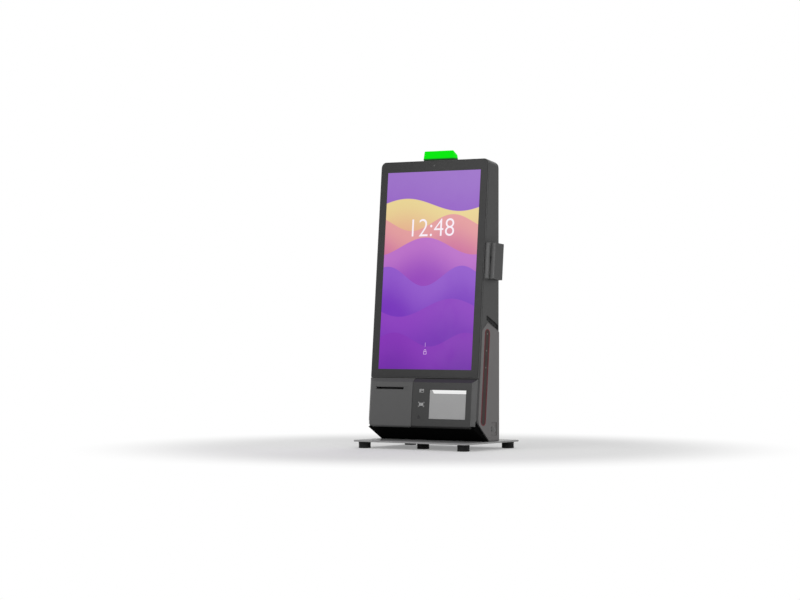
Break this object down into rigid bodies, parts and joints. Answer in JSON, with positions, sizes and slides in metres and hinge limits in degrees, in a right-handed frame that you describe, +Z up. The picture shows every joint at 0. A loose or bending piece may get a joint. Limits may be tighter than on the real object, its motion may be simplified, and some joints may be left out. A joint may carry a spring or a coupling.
{
  "type": "self-service kiosk",
  "caption": "Countertop self-service kiosk: leaning portrait touch screen above a receipt printer door and a code scanner, with a card reader on its side, a status lamp and a footed plate.",
  "frame": {"origin": "middle of the outline on the counter, under the feet", "axes": "+Z up, -Y out of the screen towards the customer, +X to the customer's right"},
  "size_m": [0.338, 0.235, 0.7139],
  "materials": {
    "plate_paint": "smooth silver-grey metallic coat",
    "foot_rubber": "matte black rubber",
    "screw_steel": "plain steel",
    "inner_steel": "plain zinc-plated sheet",
    "shell_plastic": "fine-textured dark grey",
    "frame_plastic": "fine-textured black",
    "touch_glass": "clear glass with a black printed border",
    "display": "lit picture in violet, pink and yellow",
    "chin_plastic": "matte black",
    "cover_plastic": "fine-textured warm grey",
    "strip_red": "dark red",
    "strip_smoke": "smoked dark lens",
    "dot_white": "dim pale light dot",
    "door_plastic": "fine-textured grey",
    "scanner_gloss": "dark semi-gloss",
    "window_pane": "pale grey pane",
    "light_white": "white light bar",
    "board_green": "circuit board",
    "case_black": "plain black",
    "reader_plastic": "fine-textured black",
    "lens_dark": "dark lens",
    "gear_white": "natural acetal",
    "brass": "plain brass",
    "motor_steel": "plain steel can",
    "paper": null,
    "card_tube": "grey-brown card",
    "lamp_green": "glowing green lens",
    "supply_case": null,
    "button_grey": "mid grey cap"
  },
  "bodies": {
    "kiosk": {"base_plate": "plate_paint", "feet": "foot_rubber", "foot_screws": "screw_steel", "base_screws": "screw_steel", "spine": "inner_steel", "rear_housing": "shell_plastic", "rear_screws": "screw_steel", "front_frame": "frame_plastic", "touch_glass": "touch_glass", "lcd_panel": "display", "lcd_brackets": "inner_steel", "camera_module": "lens_dark", "lower_casing": "shell_plastic", "chin": "chin_plastic", "side_cover_left": "cover_plastic", "side_cover_right": "cover_plastic", "strip_rings": "strip_red", "strip_lenses": "strip_smoke", "strip_dots": "dot_white", "vent_grilles": "case_black", "speakers": "case_black", "scanner_panel": "scanner_gloss", "scan_window": "window_pane", "light_bar": "light_white", "sensor_dot": "lens_dark", "reader_antenna": "board_green", "scan_engine": "case_black", "scan_lens": "lens_dark", "scan_bracket": "inner_steel", "printer_frame": "inner_steel", "print_head": "motor_steel", "idler_pin": "screw_steel", "print_motor": "motor_steel", "motor_bracket": "inner_steel", "roll_spindle": "case_black", "card_base": "reader_plastic", "card_wall": "reader_plastic", "card_block": "reader_plastic", "card_head": "screw_steel", "lamp_base": "case_black", "lamp_lens": "lamp_green", "lamp_board": "board_green", "mainboard": "board_green", "board_standoffs": "brass", "power_supply": "supply_case", "power_switch": "case_black", "usb_port": "screw_steel", "rear_cover": "shell_plastic", "power_inlet": "case_black"},
    "printer_door": {"printer_door": "door_plastic", "tear_bar": "screw_steel"},
    "roll": {"paper_roll": "paper", "roll_core_tube": "card_tube"},
    "platen": {"platen": "foot_rubber", "platen_shaft": "screw_steel", "platen_gear": "gear_white"},
    "idler": {"idler_gear": "gear_white"},
    "pinion": {"pinion": "brass", "motor_shaft": "screw_steel"},
    "power_button": {"power_button": "button_grey"}
  },
  "joints": [
    {"name": "door_hinge", "type": "hinge", "parent": "kiosk", "child": "printer_door", "pos_m": [-0.0965, -0.06791, 0.05631], "axis": [1, 0, 0], "range_deg": [0, 80]},
    {"name": "roll_spin", "type": "hinge", "parent": "kiosk", "child": "roll", "pos_m": [-0.0965, -0.01991, 0.0763], "axis": [1, 0, 0], "continuous": true},
    {"name": "platen_spin", "type": "hinge", "parent": "kiosk", "child": "platen", "pos_m": [-0.0965, -0.04624, 0.14065], "axis": [1, 0, 0], "continuous": true},
    {"name": "idler_spin", "type": "hinge", "parent": "kiosk", "child": "idler", "pos_m": [-0.0445, -0.03664, 0.12402], "axis": [1, 0, 0], "continuous": true},
    {"name": "pinion_spin", "type": "hinge", "parent": "kiosk", "child": "pinion", "pos_m": [-0.0445, -0.02279, 0.11602], "axis": [1, 0, 0], "continuous": true},
    {"name": "button_push", "type": "slide", "parent": "kiosk", "child": "power_button", "axis": [-1, 0, 0], "range_m": [0, 0.0012], "stiffness_N_per_m": 2000}
  ],
  "couplings": [
    {"joint": "idler_spin", "follows": "platen_spin", "ratio": -0.71429},
    {"joint": "pinion_spin", "follows": "platen_spin", "ratio": 1.6667}
  ]
}
